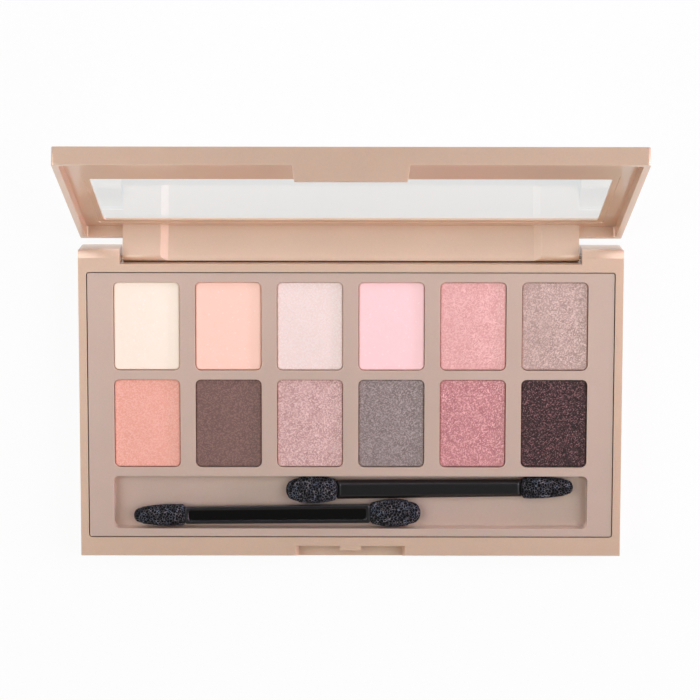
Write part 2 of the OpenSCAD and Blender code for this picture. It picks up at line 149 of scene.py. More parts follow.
champagne_abs = moulded_plastic("Champagne pearl ABS", "#e5caaf", "#dfc4a9")
tray_abs = moulded_plastic("Taupe pearl ABS", "#dac4b2", "#d4beac")
print("plastics:", champagne_abs.name, "and", tray_abs.name)

# %% [markdown]
# ## Black handle plastic
#
# The applicator handles are black polystyrene. Black plastic shows its form only by what
# it mirrors. Most of the mould is finely blasted, which gives a satin face, but the
# floor of the recessed panel is polished and looks deeper black. The mesh of a handle
# marks that floor with an attribute named "polish". A slow ripple of a few hundredths
# of a millimetre breaks the reflections up, as a moulded face does.

# %% Handle plastic
def blasted_black(name):
    """Satin black plastic with a polished panel floor and the slow ripple of a mould."""
    material, tree, output = new_material(name)
    place = add(tree, "TexCoord").outputs["Object"]
    ripple = add(tree, "TexNoise", {"Vector": place, "Scale": per_metre(3.0), "Detail": 2.0})
    blast = add(tree, "TexNoise", {"Vector": place, "Scale": per_metre(0.3), "Detail": 2.0})
    floor = add(tree, "Attribute", attribute_name="polish").outputs["Fac"]
    rough = add(tree, "MapRange", {"Value": floor, "To Min": 0.3, "To Max": 0.12})
    tone = add(tree, "MapRange", {"Value": blast.outputs["Fac"], "From Min": 0.4, "From Max": 0.7})
    satin = blend_colours(tree, tone.outputs[0], linear("#0d0d0d"), linear("#161616"))
    skin = add(tree, "Bump", {"Height": ripple.outputs["Fac"], "Strength": 0.3,
                              "Distance": 0.05 * MM})
    shader = add(tree, "BsdfPrincipled", {
        "Base Color": blend_colours(tree, floor, satin, linear("#080706")),
        "Roughness": rough.outputs[0], "Normal": skin.outputs[0], "IOR": 1.59})
    tree.links.new(shader.outputs[0], output.inputs["Surface"])
    return material


handle_black = blasted_black("Blasted black polystyrene")
print("handles:", handle_black.name)

# %% [markdown]
# ## Metals
#
# The pans are pressed from thin aluminium sheet and the hinge pins are cut from drawn
# steel wire. Both are metals, so Metallic is 1, the IOR stays at its default, and the
# colour is the colour of the reflection. Rolling and drawing leave fine lines in one
# direction, which a noise texture gives when it is stretched along that direction.

# %% Sheet and wire
def drawn_metal(name, pale, deep, roughness, along, line_mm):
    """Metal with fine lines along one axis, 0 for X, 1 for Y and 2 for Z, which are thirty
    times as long as they are wide."""
    material, tree, output = new_material(name)
    stretch = [per_metre(line_mm)] * 3
    stretch[along] = per_metre(line_mm * 30)
    place = add(tree, "Mapping", {"Vector": add(tree, "TexCoord").outputs["Object"],
                                  "Scale": stretch})
    lines = add(tree, "TexNoise", {"Vector": place.outputs[0], "Scale": 1.0, "Detail": 3.0})
    rough = add(tree, "MapRange", {"Value": lines.outputs["Fac"], "From Min": 0.3, "From Max": 0.7,
                                   "To Min": roughness - 0.06, "To Max": roughness + 0.06})
    skin = add(tree, "Bump", {"Height": lines.outputs["Fac"], "Strength": 0.2,
                              "Distance": 0.01 * MM})
    shader = add(tree, "BsdfPrincipled", {
        "Base Color": blend_colours(tree, lines.outputs["Fac"], linear(deep), linear(pale)),
        "Metallic": 1.0, "Roughness": rough.outputs[0], "Normal": skin.outputs[0]})
    tree.links.new(shader.outputs[0], output.inputs["Surface"])
    return material


pan_sheet = drawn_metal("Pressed aluminium sheet", "#d6d2cf", "#bdb8b4", 0.36, 1, 0.12)
pin_wire = drawn_metal("Drawn steel wire", "#c6c3bf", "#a8a5a1", 0.28, 0, 0.06)
print("metals:", pan_sheet.name, "and", pin_wire.name)

# %% [markdown]
# ## Hot-melt glue
#
# A drop of ivory glue holds each pan in its well. Nobody sees it until a pan is lifted
# out, but it is part of the object, so it gets a waxy finish with a little light that
# scatters inside it.

# %% Glue
def waxy_glue(name):
    """Milky adhesive with slow cloudiness."""
    material, tree, output = new_material(name)
    place = add(tree, "TexCoord").outputs["Object"]
    cloud = add(tree, "TexNoise", {"Vector": place, "Scale": per_metre(2.5), "Detail": 3.0})
    shader = add(tree, "BsdfPrincipled", {
        "Base Color": blend_colours(tree, cloud.outputs["Fac"], linear("#e2d8bd"), linear("#f2ecd9")),
        "Roughness": 0.45, "IOR": 1.48, "Subsurface Weight": 0.3,
        "Subsurface Radius": (0.6 * MM, 0.5 * MM, 0.4 * MM), "Subsurface Scale": 1.0})
    tree.links.new(shader.outputs[0], output.inputs["Surface"])
    return material


pan_adhesive = waxy_glue("Ivory hot-melt glue")
print("glue:", pan_adhesive.name)

# %% [markdown]
# ## The clear pane
#
# The window is a sheet of clear polystyrene, 0.8 mm thick. A Principled shader with full
# transmission gives its reflections and its slight bending of the view. Polystyrene has
# an IOR of 1.59. The pane uses 1.12, because a lower IOR mirrors less of the studio and
# the real pane looks very clear. Light reaches the powders through a closed lid, so for
# shadow rays the pane is a plain transparent shader: without that, Cycles would draw the
# shadow of a solid sheet. Handling leaves a faint haze, so the roughness isn't quite
# zero and drifts over the sheet.

# %% Clear sheet
def clear_sheet(name):
    """Clear plastic that shadow rays pass straight through."""
    material, tree, output = new_material(name)
    place = add(tree, "TexCoord").outputs["Object"]
    haze = add(tree, "TexNoise", {"Vector": place, "Scale": per_metre(9.0), "Detail": 4.0})
    rough = add(tree, "MapRange", {"Value": haze.outputs["Fac"], "From Min": 0.4, "From Max": 0.75,
                                   "To Min": 0.0, "To Max": 0.02})
    pane = add(tree, "BsdfPrincipled", {
        "Base Color": linear("#eff4f6"), "Roughness": rough.outputs[0], "IOR": 1.12,
        "Transmission Weight": 1.0})
    passing = add(tree, "BsdfTransparent", {"Color": linear("#f3f4f4")})
    ray = add(tree, "LightPath")
    both = add(tree, "MixShader", {0: ray.outputs["Is Shadow Ray"], 1: pane.outputs[0],
                                   2: passing.outputs[0]})
    tree.links.new(both.outputs[0], output.inputs["Surface"])
    return material


window_sheet = clear_sheet("Clear polystyrene sheet")
print("window:", window_sheet.name)

# %% [markdown]
# ## Soft edges on the moulded parts
#
# Real mouldings have no knife edges. The solids arrive as loose triangles, so the
# modifier stack first welds them, then dissolves the flat faces into large polygons, and
# only then bevels what is left: the true edges of the part. The stack stays live, so the
# solids themselves are untouched. The width is set in millimetres for each part, and
# limited where a step is smaller than that.

# %% Bevelled edges
WELD_MM = 0.0005
FLAT_DEGREES = 0.2
EDGE_DEGREES = 30


def soften(name, width_mm):
    """Welds, cleans and bevels a solid without changing its own mesh."""
    part = nodes[name]
    part.modifiers.new("Weld", "WELD").merge_threshold = WELD_MM * MM
    flat = part.modifiers.new("Flat faces", "DECIMATE")
    flat.decimate_type = "DISSOLVE"
    flat.angle_limit = math.radians(FLAT_DEGREES)
    bevel = part.modifiers.new("Edges", "BEVEL")
    bevel.width = width_mm * MM
    bevel.segments = 2
    bevel.limit_method = "ANGLE"
    bevel.angle_limit = math.radians(EDGE_DEGREES)
    bevel.use_clamp_overlap = True
    bevel.harden_normals = False


def finish_solid(name, material):
    """Puts a material on every slot of a solid's object."""
    for slot in nodes[name].material_slots:
        slot.link = "OBJECT"
        slot.material = material


PANS = [f"pan_{i:02d}" for i in range(1, 13)]
# Each hard part's material and the width of its soft edge in millimetres
HARD_PARTS = {
    "base_case": (champagne_abs, 0.25), "shade_tray": (tray_abs, 0.2),
    "lid_frame": (champagne_abs, 0.25), "lid_window": (window_sheet, 0),
    "hinge_pin_left": (pin_wire, 0.1), "hinge_pin_right": (pin_wire, 0.1),
    "pan_glue": (pan_adhesive, 0.05), **{name: (pan_sheet, 0.08) for name in PANS},
}
for part_name, (part_material, edge_width) in HARD_PARTS.items():
    finish_solid(part_name, part_material)
    if edge_width:
        soften(part_name, edge_width)
print("hard parts finished:", len(HARD_PARTS))

# %% [markdown]
# ## Surfaces from arrays
#
# The powders, the foam tips and the handles are new surfaces. Each is a grid of points
# worked out with numpy in one go: no loop walks over the vertices. Two helpers turn such
# a grid into a mesh that rides on its body and stands for its solid, and a third tells
# how much room that solid takes.

# %% Mesh helpers
def grid_quads(rows, columns, wrap=False):
    """Quads between neighbouring rows and columns of points; wrap closes each row."""
    r = np.arange(rows - 1)[:, None]
    c = np.arange(columns if wrap else columns - 1)[None, :]
    n = (c + 1) % columns
    quads = np.stack([r * columns + c, r * columns + n, (r + 1) * columns + n,
                      (r + 1) * columns + c], axis=-1)
    return quads.reshape(-1, 4)


def make_piece(name, points, faces, material, body, stands_for):
    """A smooth mesh object at the origin that rides on a body in place of a solid."""
    mesh = bpy.data.meshes.new(name)
    mesh.from_pydata((points * MM).tolist(), [], faces)
    mesh.shade_smooth()
    mesh.materials.append(material)
    piece = bpy.data.objects.new(name, mesh)
    bpy.context.scene.collection.objects.link(piece)
    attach(piece, body)
    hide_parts(stands_for)
    return piece


def box_mm(name):
    """Lowest and highest corner of a solid, in millimetres."""
    return [np.array(corner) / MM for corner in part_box(name)]


print("a 3 by 4 grid has", len(grid_quads(3, 4)), "quads")

# %% [markdown]
# ## Noise
#
# Powder and foam both need an uneven surface. Value noise is the simplest kind: random
# heights on a square lattice, with a smooth curve from each to the next. Pits are made
# from distances: each cell of a lattice holds one random point, and a pit is deepest
# near its point. Both are fixed by a seed, so each run gives the same surface. A lattice
# starts again after its last row, and each is longer than the piece that it is used on.

# %% Value noise and pits
# Rows of the flat and of the 3-D lattice, and a distance past that of any neighbour
LATTICE = 64
CELLS = 32
FAR = 9.0


def value_noise(x, y, cell, seed):
    """Random lattice values between -1 and 1, blended by the curve 3t^2 - 2t^3."""
    lattice = np.random.default_rng(seed).uniform(-1, 1, (LATTICE, LATTICE))
    gx, gy = x / cell, y / cell
    ix, iy = np.floor(gx).astype(int), np.floor(gy).astype(int)
    tx, ty = gx - ix, gy - iy
    tx, ty = tx * tx * (3 - 2 * tx), ty * ty * (3 - 2 * ty)

    def at(dx, dy):
        """Value at one corner of the square that each point is in."""
        return lattice[(ix + dx) % LATTICE, (iy + dy) % LATTICE]

    low = at(0, 0) * (1 - tx) + at(1, 0) * tx
    high = at(0, 1) * (1 - tx) + at(1, 1) * tx
    return low * (1 - ty) + high * ty


def nearest_cells(points, cell, seed):
    """For each point: distances, in cells, to the nearest and the second nearest random
    point of a 3-D lattice, and the nearest one's own random value."""
    rng = np.random.default_rng(seed)
    spots = rng.uniform(0, 1, (CELLS, CELLS, CELLS, 3))
    values = rng.uniform(0, 1, (CELLS, CELLS, CELLS))
    scaled = points / cell
    base = np.floor(scaled).astype(int)
    first, second = np.full(len(points), FAR), np.full(len(points), FAR)
    value = np.zeros(len(points))
    for dx in (-1, 0, 1):
        for dy in (-1, 0, 1):
            for dz in (-1, 0, 1):
                near = base + (dx, dy, dz)
                key = tuple((near % CELLS).T)
                away = np.linalg.norm(scaled - near - spots[key], axis=1)
                value = np.where(away < first, values[key], value)
                second = np.minimum(second, np.maximum(first, away))
                first = np.minimum(first, away)
    return first, second, value


print("noise at the origin:", round(float(value_noise(np.zeros(1), np.zeros(1), 1.0, 3)[0]), 3))

# %% [markdown]
# ## Pressed powder: the shape
#
# A press squeezes loose powder into each pan. The cake that it leaves has a nearly flat
# top with a slight crown, a rounded edge along the metal, and a skin that is never quite
# even. The top is a square grid whose corners are drawn in to quarter circles. Its
# border then runs on as rings: over the rounded edge, down the side of the pan, and to
# a flat face at the bottom that closes the cake. The press also spreads the powder about
# a tenth of a millimetre over the lip of its pan.

# %% Powder cake
def rounded_top(half, corner, counts):
    """Grid over a rounded rectangle: in each corner square of side r, a point (p, q) moves
    to (p, q) * max(p, q) / hypot(p, q), which turns the square into a quarter disc."""
    u = np.linspace(-half[0], half[0], counts[0])
    v = np.linspace(-half[1], half[1], counts[1])
    x, y = np.meshgrid(u, v)
    p = np.maximum(np.abs(x) - (half[0] - corner), 0)
    q = np.maximum(np.abs(y) - (half[1] - corner), 0)
    long = np.hypot(p, q)
    pull = np.where(long > 0, np.maximum(p, q) / np.maximum(long, 1e-9), 1.0)
    x = np.where((p > 0) & (q > 0), np.sign(x) * (half[0] - corner + p * pull), x)
    y = np.where((p > 0) & (q > 0), np.sign(y) * (half[1] - corner + q * pull), y)
    return x, y


def border_of(rows, columns):
    """Indices of a grid's border points, once round, anticlockwise."""
    i = np.arange(rows * columns).reshape(rows, columns)
    return np.concatenate([i[0, :-1], i[:-1, -1], i[-1, :0:-1], i[:0:-1, 0]])


# Rings that turn round a cake's edge, and how fast the noise fades towards it: it fades
# where 1 - u^2 or 1 - v^2 is less than 1 / EDGE_FADE, with u and v from -1 to 1
EDGE_RINGS = 5
EDGE_FADE = 4
# Share and cell size in millimetres of the three noises that make the top uneven, and
# how far their lattice is moved, which picks the part of it that is used
SKIN_NOISES = ((0.6, 3.1), (0.3, 0.9), (0.25, 0.5))
LATTICE_SHIFT = 40


def powder_cake(low, high, seed, corner=1.2, crown=0.1, relief=0.02, round_edge=0.35, spacing=0.24):
    """Points and faces of a cake between two corners, in millimetres. The top rises by
    crown (1 - u^2) (1 - v^2) over its edge, with u and v from -1 to 1 across it, plus
    relief times the noise. A ring at angle a round the edge lies round_edge sin a further
    out and round_edge (1 - cos a) further down than the border."""
    centre, half = (low + high) / 2, (high - low) / 2
    inner = half[:2] - round_edge
    counts = np.maximum((2 * inner / spacing).astype(int), 8)
    x, y = rounded_top(inner, corner - round_edge, counts)
    across, along = 1 - (x / inner[0]) ** 2, 1 - (y / inner[1]) ** 2
    rise = crown * across * along
    skin = relief * sum(share * value_noise(x + LATTICE_SHIFT, y + LATTICE_SHIFT, cell, seed + i)
                        for i, (share, cell) in enumerate(SKIN_NOISES))
    fade = np.minimum(1, EDGE_FADE * np.minimum(across, along))
    top = np.stack([x, y, high[2] - crown + rise + skin * fade], axis=-1).reshape(-1, 3)
    border = border_of(counts[1], counts[0])
    edge = top[border]
    away = np.maximum(np.abs(edge[:, :2]) - (inner - (corner - round_edge)), 0) * np.sign(edge[:, :2])
    away /= np.linalg.norm(away, axis=1, keepdims=True)
    turn = np.radians(90 / EDGE_RINGS * np.arange(1, EDGE_RINGS + 1))[:, None, None]
    out = edge[None, :, :2] + away[None] * round_edge * np.sin(turn)
    down = high[2] - crown - round_edge * (1 - np.cos(turn)) + 0 * out[..., :1]
    rings = np.concatenate([out, down], axis=-1)
    foot = np.concatenate([out[-1], np.full((len(border), 1), low[2])], axis=1)
    points = np.concatenate([top, rings.reshape(-1, 3), foot])
    n, first = len(border), len(top)
    below = first + np.arange((EDGE_RINGS + 1) * n).reshape(-1, n)
    ring = np.concatenate([border[None], below])
    after = np.roll(ring, -1, axis=1)
    skirt = np.stack([ring[:-1], ring[1:], after[1:], after[:-1]], axis=-1).reshape(-1, 4)
    faces = grid_quads(counts[1], counts[0]).tolist() + skirt.tolist()
    faces.append(below[-1, ::-1].tolist())
    points[:, :2] += centre[:2]
    return points, faces


cake_points, cake_faces = powder_cake(np.zeros(3), np.array([16.0, 22.0, 4.0]), seed=1)
print("a cake of 16 by 22 mm has", len(cake_points), "points and", len(cake_faces), "faces")

# %% [markdown]
# ## Pressed powder: the finish
#
# Eyeshadow is talc, mica and pigment pressed with a little oil. A matte shade scatters
# light evenly. A satin or shimmer shade holds fine mica, which adds a soft gloss, and a
# glitter shade holds flakes that can be seen one by one. A Voronoi texture splits the
# surface into cells of the flake's size and gives each a random value: a flake shows
# where that value is high, and a second one tips its face, so each catches other light.
# Real mica is 0.05 to 0.3 mm; the flakes here are drawn at 0.25 mm and more, so that
# they show at all from arm's length. The kinds below run from dull to sparkling.

# %% Powder material
def pressed_powder(name, pale, deep, flake, flake_share, flake_metal, roughness, tilt,
                   flake_mm=0.35, grain_mm=0.3, mottle_mm=2.5, sheen=0.1):
    """Powder between two tones. With a cell's random colour c, a flake shows where its red
    is over 1 - flake_share, and the normal n becomes n + tilt (c - 0.5), made unit."""
    material, tree, output = new_material(name)
    place = add(tree, "TexCoord").outputs["Object"]
    mottle = add(tree, "TexNoise", {"Vector": place, "Scale": per_metre(mottle_mm), "Detail": 3.0})
    grain = add(tree, "TexNoise", {"Vector": place, "Scale": per_metre(grain_mm), "Detail": 2.0})
    both = add(tree, "Math", {0: mottle.outputs["Fac"], 1: grain.outputs["Fac"]}, operation="ADD")
    factor = add(tree, "MapRange", {"Value": both.outputs[0], "From Min": 0.75, "From Max": 1.25})
    cake = blend_colours(tree, factor.outputs[0], linear(deep), linear(pale))
    cells = add(tree, "TexVoronoi", {"Vector": place, "Scale": per_metre(flake_mm)})
    values = add(tree, "SeparateColor", {0: cells.outputs["Color"]})
    shows = add(tree, "MapRange", {"Value": values.outputs[0], "From Min": 1 - flake_share,
                                   "From Max": 1 - flake_share * 0.6})
    metal = add(tree, "Math", {0: shows.outputs[0], 1: flake_metal}, operation="MULTIPLY")
    rough = add(tree, "MapRange", {"Value": shows.outputs[0], "To Min": roughness, "To Max": 0.35})
    around = add(tree, "VectorMath", {0: cells.outputs["Color"], 1: (0.5, 0.5, 0.5)},
                 operation="SUBTRACT")
    lean = add(tree, "VectorMath", {0: around.outputs[0], "Scale": tilt}, operation="SCALE")
    face = add(tree, "VectorMath", {0: add(tree, "NewGeometry").outputs["Normal"],
                                    1: lean.outputs[0]}, operation="ADD")
    unit = add(tree, "VectorMath", {0: face.outputs[0]}, operation="NORMALIZE")
    skin = add(tree, "Bump", {"Height": grain.outputs["Fac"], "Strength": 0.35,
                              "Distance": 0.06 * MM, "Normal": unit.outputs[0]})
    shader = add(tree, "BsdfPrincipled", {
        "Base Color": blend_colours(tree, shows.outputs[0], cake, linear(flake)),
        "Metallic": metal.outputs[0], "Roughness": rough.outputs[0],
        "Normal": skin.outputs[0], "Sheen Weight": sheen, "Sheen Roughness": 0.5})
    tree.links.new(shader.outputs[0], output.inputs["Surface"])
    return material


matte = dict(flake_share=0.02, flake_metal=0.0, roughness=0.95, tilt=0.05)
satin = dict(flake_share=0.5, flake_metal=0.2, roughness=0.7, tilt=0.12)
lustre = dict(flake_share=0.5, flake_metal=0.2, roughness=0.7, tilt=0.2, flake_mm=0.25)
shimmer = dict(flake_share=0.6, flake_metal=0.35, roughness=0.6, tilt=0.27, flake_mm=0.25)
glitter = dict(flake_share=0.5, flake_metal=0.4, roughness=0.6, tilt=0.25, flake_mm=0.25)
bright = dict(flake_share=0.5, flake_metal=0.4, roughness=0.6, tilt=0.36, flake_mm=0.25)
sparks = dict(flake_share=0.35, flake_metal=0.5, roughness=0.6, tilt=0.45, flake_mm=0.25)
# Name, pale tone, deep tone, flake colour and kind of each shade, row by row
SHADES = [
    ("Cream matte powder", "#fff4df", "#fff2dc", "#fff8e7", matte),
    ("Peach matte powder", "#ffd6c2", "#fed4be", "#ffdeca", matte),
    ("Pale beige satin powder", "#f3e0d5", "#efdcd1", "#f8eae0", satin),
    ("Pale pink matte powder", "#ffd7d4", "#ffd5d2", "#ffdeda", matte),
    ("Rose shimmer powder", "#ebb1aa", "#e1a29c", "#f1bfb7", shimmer),
    ("Taupe pink glitter powder", "#c6aa9e", "#b0968b", "#d2b9ad", glitter),
    ("Coral satin powder", "#f6b29c", "#eea690", "#fcc2af", lustre),
    ("Brown satin powder", "#795e53", "#6b5048", "#8e7066", lustre),
    ("Mauve rose shimmer powder", "#d4ada6", "#b88e87", "#e9cac1", bright),
    ("Grey taupe shimmer powder", "#90837e", "#7c706b", "#a79a94", bright),
    ("Rose metallic powder", "#cb8b8a", "#b67879", "#dca4a1", bright),
    ("Dark plum glitter powder", "#371d1d", "#220c0c", "#6e4c4a", sparks),
]
# How far each cake spreads over its pan's lip in X and Y, in millimetres
SPREAD = np.array([0.12, 0.08, 0.0])
for i, (shade_name, pale, deep, flake, kind) in enumerate(SHADES, 1):
    powder = pressed_powder(shade_name, pale, deep, flake, **kind)
    low, high = box_mm(f"shade_{i:02d}")
    points, faces = powder_cake(low - SPREAD, high + SPREAD, seed=10 * i)
    make_piece(f"pressed_shade_{i:02d}", points, faces, powder, "case", f"shade_{i:02d}")
print("powders pressed:", len(SHADES))

# %% [markdown]
# ## Foam tips
#
# Each applicator ends in a tip of fine black foam, moulded round a flat stem. From above
# a tip is an oval cut off at its neck, and from the side it is a thinner oval. The foam's
# skin is a web of thin walls round tiny open cells. A grid runs along the tip and round
# it, each ring a superellipse. Every point is pushed in, except where it is about as far
# from two cell middles: there a wall stands. How near a point is to the top of a wall,
# times a random glint for each cell, is kept on the mesh as an attribute: the finish
# paints it as a highlight, so the wall tops are painted lighter and some cells brighter
# than others. Real cells are about 0.2 mm; they are drawn at 0.68 mm so that they show.

# %% Foam tip
def oval_half(s, length, half, inset, belly, tip):
    """Half width at distance s from the neck. The side is an arc of radius R = (belly^2 +
    inset^2) / (2 inset), widest at the belly; the end is a circle of radius tip, and counts
    for four times its radius before it starts; and (side^-8 + end^-8)^(-1/8) follows the
    smaller of the two and rounds the corner between them."""
    radius = (belly ** 2 + inset ** 2) / (2 * inset)
    side = half - radius + np.sqrt(radius ** 2 - (s - belly) ** 2)
    past = np.clip(s - (length - tip), 0, tip)
    end = np.sqrt(np.maximum(tip ** 2 - past ** 2, 0)) * np.where(past > 0, 1, 4) + 1e-6
    return (side ** -8.0 + end ** -8.0) ** (-1 / 8)


# Half thickness, inset, belly and tip radius of every tip's side view, in millimetres
SIDE_VIEW = (2.1, 0.6, 6.0, 1.6)
# A tip starts at this share of its size, and reaches its full size this far on
NECK_SHARE, NECK_LENGTH = 0.72, 0.5
# Power of a ring's cosine and sine: 1 is an ellipse, and less is squarer
RING_POWER = 0.8
# Size of a cell in millimetres, and how far the lattice of cells is moved
CELL_MM, FOAM_SHIFT = 0.68, 20
# Values of the difference d, in cells, where a wall's painted highlight ends and a pit has its full depth
WALL_WIDTH, PIT_REACH = 0.15, 0.5
# In millimetres: how deep the top of a wall lies, and how much deeper the deepest pit
WALL_DEPTH, PIT_DEPTH = 0.01, 0.18
# Half a tip's thickness in millimetres under which its pits get shallower
THIN = 1.2
# How many painted glint brightness values there are for a cell to pick from
GLINTS = 4096


def foam_tip(length, width, inset, belly, tip, seed, rings=250, around=240):
    """Points, faces and painted wall highlight of a tip along +X from its neck. A ring is
    (half_y cos^p a, half_z sin^p a). With d the distance in cells from the second nearest
    middle less that from the nearest, and v and u random for each cell, a pit's depth is
    (d / PIT_REACH)^0.8 (0.6 + 0.4 v), and the painted highlight is 1 - d / WALL_WIDTH times
    a cell's glint 0.15 + 0.85 u^2, so that a few cells are painted bright and most dim."""
    s = length * (1 - (1 - np.linspace(0, 0.999, rings)) ** 2)
    half_y = oval_half(s, length, width / 2, inset, belly, tip)
    half_z = oval_half(s, length, *SIDE_VIEW)
    neck = NECK_SHARE + (1 - NECK_SHARE) * np.sqrt(np.minimum(s / NECK_LENGTH, 1))
    a = np.linspace(0, 2 * np.pi, around, endpoint=False)
    ca, sa = np.cos(a), np.sin(a)
    y = (half_y * neck)[:, None] * (np.sign(ca) * np.abs(ca) ** RING_POWER)[None]
    z = (half_z * neck)[:, None] * (np.sign(sa) * np.abs(sa) ** RING_POWER)[None]
    x = np.repeat(s[:, None], around, axis=1)
    skin = np.stack([x, y, z], axis=-1)
    inward = -np.stack([np.maximum(x - length + tip, 0) / tip ** 2, y / half_y.max() ** 2,
                        z / SIDE_VIEW[0] ** 2], axis=-1)
    inward /= np.maximum(np.linalg.norm(inward, axis=-1, keepdims=True), 1e-6)
    first, second, value = nearest_cells(skin.reshape(-1, 3) + FOAM_SHIFT, CELL_MM, seed)
    apart = second - first
    wall = np.clip(1 - apart / WALL_WIDTH, 0, 1)
    pit = np.clip(apart / PIT_REACH, 0, 1) ** 0.8 * (0.6 + 0.4 * value)
    depth = WALL_DEPTH + PIT_DEPTH * pit
    room = np.minimum(1, np.minimum(half_y, half_z) / THIN)[:, None]
    skin += inward * (depth.reshape(rings, around) * room)[..., None]
    points = np.concatenate([skin.reshape(-1, 3), [[0.0, 0, 0], skin[-1].mean(axis=0)]])
    # The painted highlight: nearness to a wall top times a random glint for each cell, which the foam's
    # colour paints lighter
    glint = 0.15 + 0.85 * np.random.default_rng(seed).uniform(0, 1, GLINTS) ** 2
    height = np.concatenate([wall * glint[(value * (GLINTS - 1)).astype(int)], [0.0, 0.0]])
    faces = grid_quads(rings, around, wrap=True)[:, ::-1].tolist()
    ring = np.arange(around)
    after, last, hub = (ring + 1) % around, (rings - 1) * around, rings * around
    faces += np.stack([ring, after, np.full(around, hub)], axis=1)[:, ::-1].tolist()
    faces += np.stack([after + last, ring + last, np.full(around, hub + 1)], axis=1)[:, ::-1].tolist()
    return points, faces, height


# Length, width, inset, belly and tip radius seen from above, in millimetres
BROAD = (12.9, 7.15, 0.98, 6.0, 3.2)
NARROW = (13.0, 5.6, 0.1, 3.0, 2.15)
# A tip's third value is its painted highlight on the wall tops
tip_points, tip_faces, tip_walls = foam_tip(*BROAD, seed=5)
print("one foam tip has", len(tip_points), "points; mean wall", round(float(tip_walls.mean()), 2))

# %% [markdown]
# ## Foam finish
#
# Dyed polyurethane foam is nearly black and very matt in its cells. The tops of the walls
# are painted lighter, a grey, slightly blue highlight that follows the wall attribute, and
# a fine grain of a tenth of a millimetre keeps even the walls from looking smooth.

# %% Foam material
def dyed_foam(name):
    """Charcoal foam, with a painted highlight on the walls between its cells."""
    material, tree, output = new_material(name)
    place = add(tree, "TexCoord").outputs["Object"]
    # Strength of the painted highlight on the wall tops, read from the mesh
    wall = add(tree, "Attribute", attribute_name="wall").outputs["Fac"]
    tint = add(tree, "TexNoise", {"Vector": place, "Scale": per_metre(1.2), "Detail": 1.0})
    cool = add(tree, "MapRange", {"Value": tint.outputs["Fac"], "From Min": 0.45, "From Max": 0.6})
    # Colour of the painted highlight on the wall tops, cooler in places
    painted_highlight = blend_colours(tree, cool.outputs[0], linear("#8f8d90"), linear("#8592a2"))
    fine = add(tree, "TexNoise", {"Vector": place, "Scale": per_metre(0.12), "Detail": 2.0})
    rough = add(tree, "MapRange", {"Value": wall, "To Min": 0.95, "To Max": 0.6})
    skin = add(tree, "Bump", {"Height": fine.outputs["Fac"], "Strength": 0.5,
                              "Distance": 0.04 * MM})
    # Base colour: the foam's own black in the cells, lightened to the painted highlight on the wall tops
    shader = add(tree, "BsdfPrincipled", {
        "Base Color": blend_colours(tree, wall, linear("#080707"), painted_highlight),
        "Roughness": rough.outputs[0], "Normal": skin.outputs[0],
        "Specular IOR Level": 0.2})
    tree.links.new(shader.outputs[0], output.inputs["Surface"])
    return material


foam_black = dyed_foam("Dyed black polyurethane foam")
print("foam:", foam_black.name)

# %% [markdown]
# ## Placing the tips
#
# The two applicators lie nose to tail in the trough, each turned by 0.6 degrees. The
# front one has its broad tip on the right; the back one lies the other way round. A
# tip is made along +X from its neck, so it is turned about Z and moved to its place
# in the arrays, which leaves the Blender object itself at the origin.

# %% Tips on their applicators
# Half the length of a handle's bar, in millimetres
HANDLE_END = 47.1 / 2
# Middle of each applicator in millimetres, and its turn in degrees
LYING = {"front": ((-18.6, -28.835, 8.5), 0.6), "back": ((20.0, -22.215, 8.5), 180.6)}


def placed(points, middle, turn, start=0, flip=1):
    """Points moved by start along X, turned end for end where flip is -1, then turned by
    turn degrees about Z and moved to the applicator's middle."""
    local = points.copy()
    local[:, 0] = (local[:, 0] + start) * flip
    local[:, 1] *= flip
    angle = math.radians(turn)
    turned = np.array([[math.cos(angle), math.sin(angle), 0],
                       [-math.sin(angle), math.cos(angle), 0], [0, 0, 1]])
    return local @ turned + np.array(middle)


for end, (middle, turn) in LYING.items():
    for kind, sizes, flip in (("broad", BROAD, 1), ("narrow", NARROW, -1)):
        made, tip_faces, walls = foam_tip(*sizes, seed=len(end) + flip)
        made = placed(made, middle, turn, HANDLE_END, flip)
        tip = make_piece(f"{end}_{kind}_foam", made, tip_faces, foam_black,
                         f"{end}_applicator", f"{end}_{kind}_sponge")
        # This attribute holds the painted highlight on the wall tops, which the foam's colour follows
        tip.data.attributes.new("wall", "FLOAT", "POINT").data.foreach_set("value", walls)
        low, high = box_mm(f"{end}_{kind}_sponge")
        print(tip.name, "inside its space by", (made.min(0) - low).round(2), (high - made.max(0)).round(2))

# %% [markdown]
# ## Handles
#
# A handle is a flat bar with soft edges. One face is bevelled, and the other has a
# shallow panel with round corners. Its shape is a profile that runs from the middle of
# one face, over the edge, to the middle of the other, carried round a rounded rectangle:
# each point of the profile is one ring, drawn in from the outline by its own distance.
# Where the profile has a corner, a small curve replaces it, and that curve is what
# catches the thin bright lines along a black edge. The same function makes the flat
# stems that reach into the foam.

# %% Handle shape
# How far from its corner the extra ring at each end of a curve lies, in cuts
BEYOND = 1.15


def eased(corners, cuts, steps=6):
    """Polyline with each inner corner P replaced by the curve (1-t)^2 A + 2t(1-t) P + t^2 B,
    whose ends A and B lie one cut before and after it; a ring just beyond each end keeps
    the flats flat. Further values of a point are carried along with its place."""
    corners = np.array(corners, float)
    middle, cut = corners[1:-1], np.array(cuts, float)[:, None]
    back, on = corners[:-2] - middle, corners[2:] - middle
    back *= cut / np.linalg.norm(back[:, :2], axis=1, keepdims=True)
    on *= cut / np.linalg.norm(on[:, :2], axis=1, keepdims=True)
    t = np.linspace(0, 1, steps)[None, :, None]
    bend = middle[:, None] + (1 - t) ** 2 * back[:, None] + t ** 2 * on[:, None]
    runs = np.concatenate([(middle + BEYOND * back)[:, None], bend, (middle + BEYOND * on)[:, None]], 1)
    return np.concatenate([corners[:1], runs.reshape(-1, corners.shape[1]), corners[-1:]])


